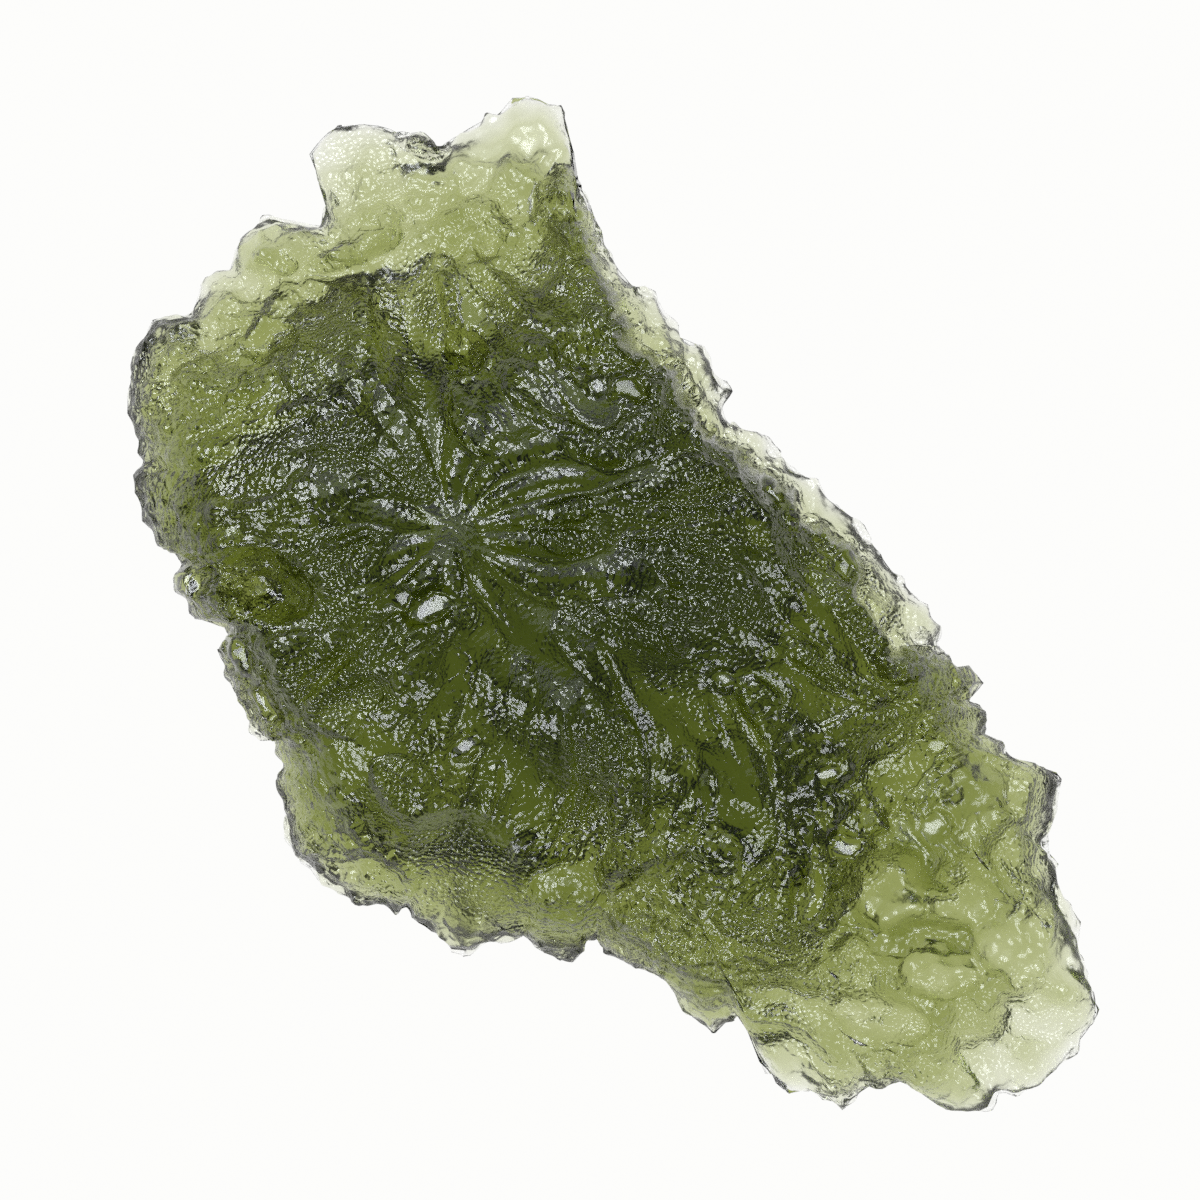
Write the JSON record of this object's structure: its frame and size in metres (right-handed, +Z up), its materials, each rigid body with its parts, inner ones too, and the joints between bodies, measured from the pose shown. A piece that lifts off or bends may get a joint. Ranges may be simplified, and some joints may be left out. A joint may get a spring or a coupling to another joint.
{
  "type": "moldavite",
  "caption": "Flat, jagged lump of green natural glass with a deeply fluted and pitted surface, thin pale edges and a low ledge along one side.",
  "frame": {"origin": "centre of the bounding box in plan, on the surface that the stone rests on", "axes": "+X along the long axis towards the narrower end, +Y across the stone towards the side with the low ledge, +Z up from the resting surface"},
  "size_m": [0.03, 0.0168, 0.0071],
  "materials": {
    "green_glass": "glossy natural surface, finely pitted"
  },
  "bodies": {
    "root": {"stone": "green_glass"}
  },
  "joints": []
}
